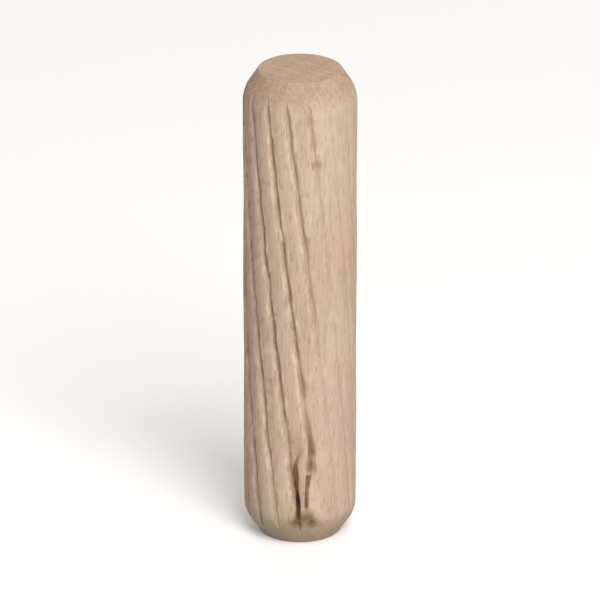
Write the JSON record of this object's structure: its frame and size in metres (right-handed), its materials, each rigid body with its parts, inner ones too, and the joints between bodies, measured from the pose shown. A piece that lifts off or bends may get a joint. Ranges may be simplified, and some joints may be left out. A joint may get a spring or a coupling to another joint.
{
  "type": "dowel pin",
  "caption": "Spiral-fluted hardwood dowel pin with chamfered ends, glued into matching drilled holes to join and align wooden parts.",
  "frame": {"origin": "centre of the lower end face, on the pin's axis", "axes": "+Z along the pin's axis to its upper end, -Y towards the side with the split"},
  "size_m": [0.008, 0.008, 0.035],
  "materials": {
    "hardwood": "bare turned hardwood, dry and unsealed"
  },
  "bodies": {
    "root": {"dowel_pin": "hardwood"}
  },
  "joints": []
}
